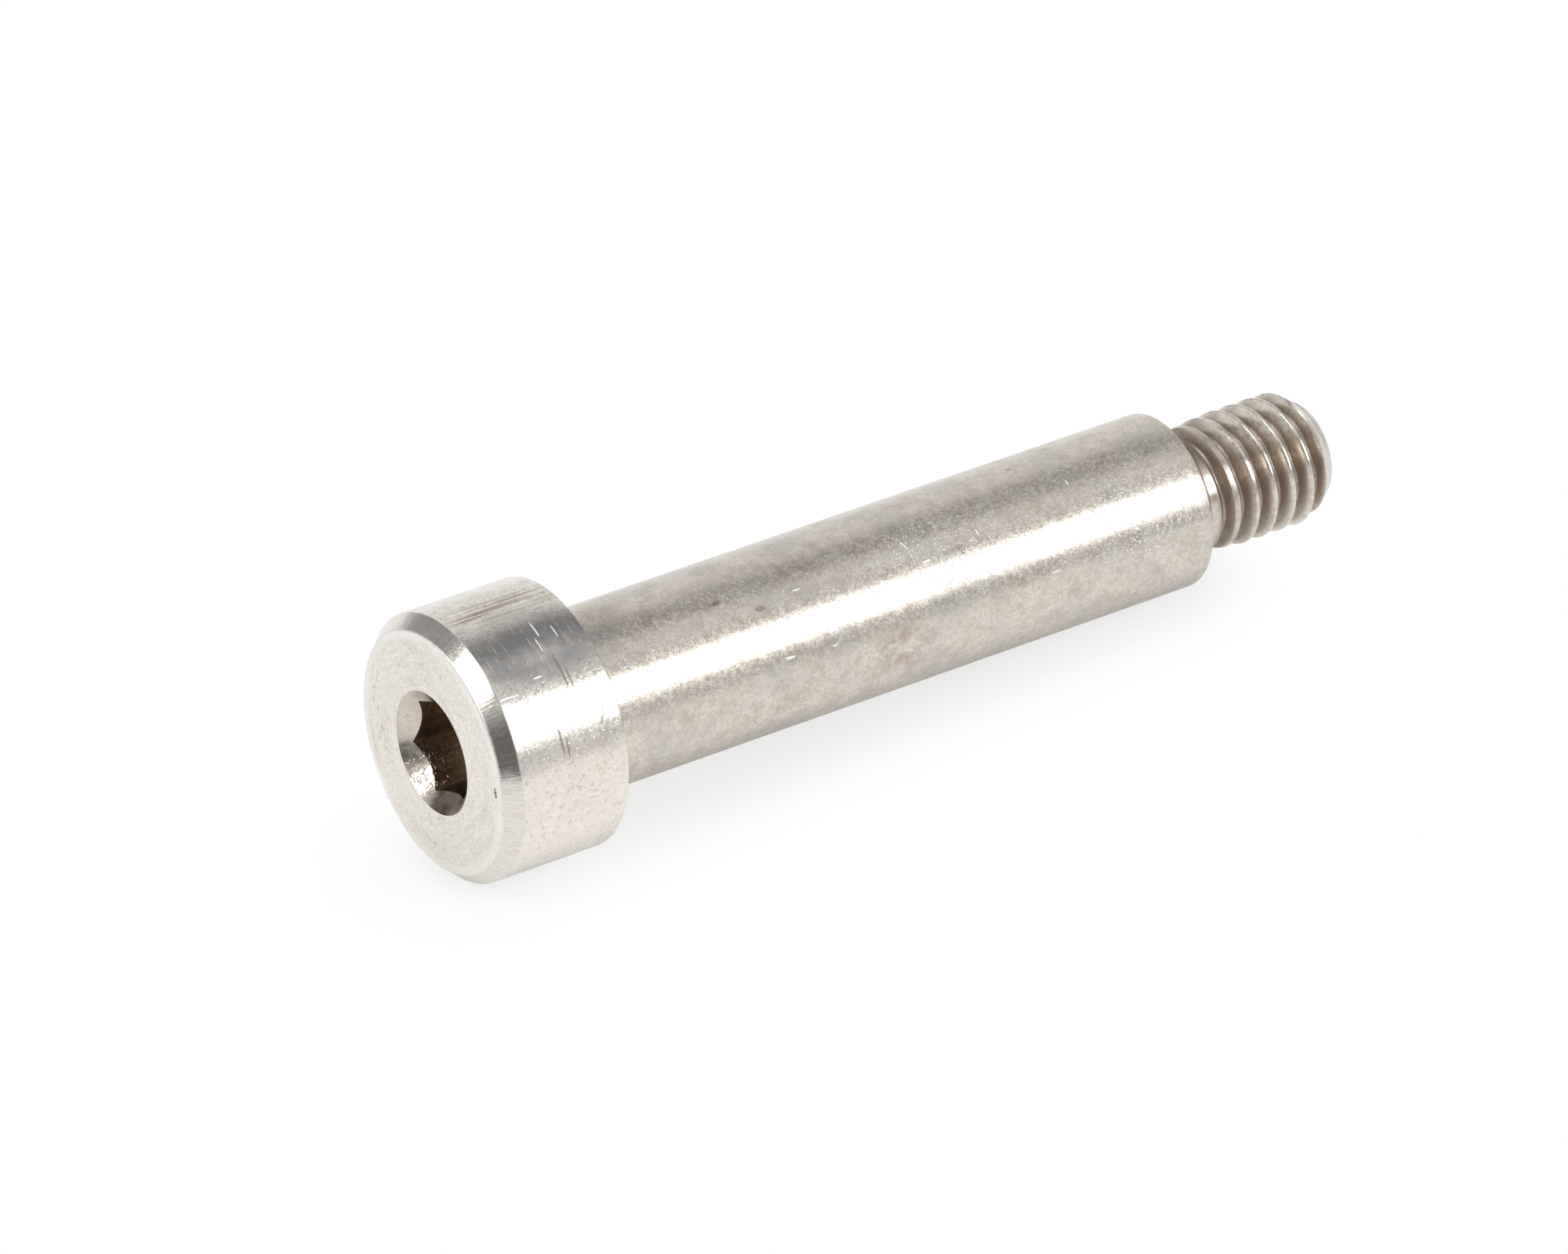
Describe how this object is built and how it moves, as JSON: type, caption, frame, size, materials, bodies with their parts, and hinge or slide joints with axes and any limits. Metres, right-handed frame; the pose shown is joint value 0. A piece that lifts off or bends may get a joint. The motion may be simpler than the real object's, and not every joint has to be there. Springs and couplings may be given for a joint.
{
  "type": "shoulder bolt",
  "caption": "Shoulder bolt: a long ground shoulder under a cylindrical head with a hexagon socket, and a short thread beyond it.",
  "frame": {"origin": "centre of the head's flat face, on the surface that the bolt stands on", "axes": "+Z along the bolt's axis from the head to the thread; the hexagon socket's corners lie on the Y axis"},
  "size_m": [0.0096, 0.0096, 0.0363],
  "materials": {
    "stainless_steel": "turned stainless steel, satin shoulder, turning marks on the head's face, grey-brown thread grooves"
  },
  "bodies": {
    "root": {"shoulder_bolt": "stainless_steel"}
  },
  "joints": []
}
